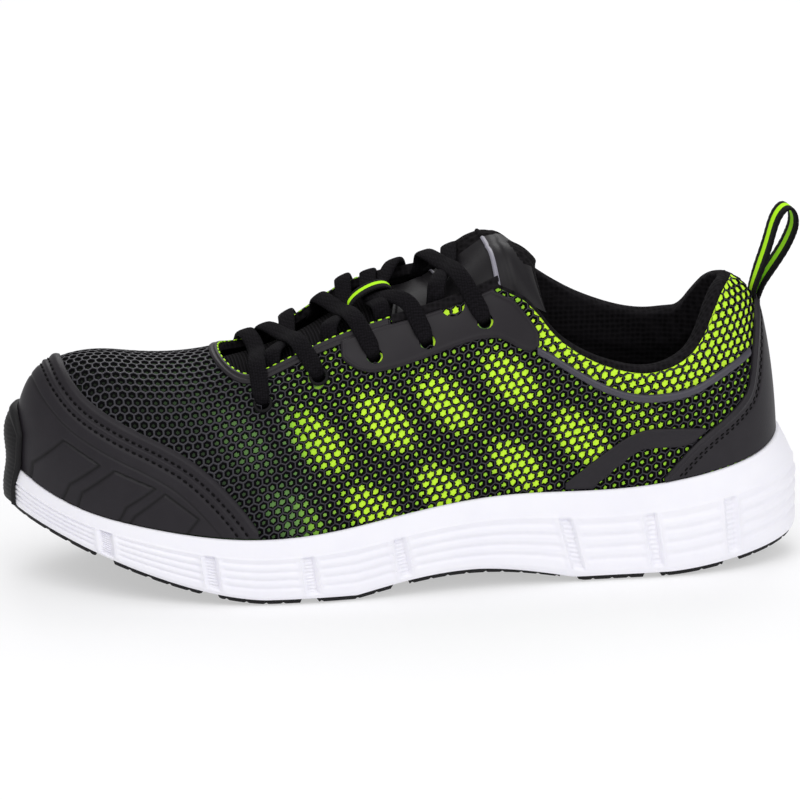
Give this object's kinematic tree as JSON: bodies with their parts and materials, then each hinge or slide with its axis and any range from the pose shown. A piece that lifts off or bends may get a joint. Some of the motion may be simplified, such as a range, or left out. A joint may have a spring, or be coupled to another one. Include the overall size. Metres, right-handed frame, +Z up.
{
  "type": "safety shoe",
  "caption": "Low left safety trainer: hollow net upper on a last, moulded toe guard, heel counter and eyestays, padded tongue, flat lace, ribbed foam midsole and lugged rubber outsole.",
  "frame": {"origin": "middle of the shoe in plan, on the floor that the sole stands on", "axes": "+X towards the heel, +Y towards the inner (medial) side, +Z up"},
  "size_m": [0.3016, 0.107, 0.1329],
  "materials": {
    "outsole": "matt moulded rubber",
    "midsole": "smooth white moulded foam",
    "insole": "cloth over foam",
    "upper": "open hexagonal net over a bright lining",
    "tongue": "ribbed knit and smooth panels",
    "overlay": "matt moulded film with a rolled rim",
    "piping": "satin film",
    "webbing": "woven webbing with a bright stripe",
    "lace": "flat woven lace"
  },
  "bodies": {
    "root": {"outsole": "outsole", "midsole": "midsole", "insole": "insole", "upper": "upper", "tongue": "tongue", "toe_guard": "overlay", "heel_counter": "overlay", "heel_band_lateral": "overlay", "heel_band_medial": "overlay", "eyestay_lateral": "overlay", "eyestay_medial": "overlay", "collar_piping_lateral": "piping", "collar_piping_medial": "piping", "tongue_keeper": "webbing", "lace": "lace", "pull_loop": "webbing"}
  },
  "joints": []
}
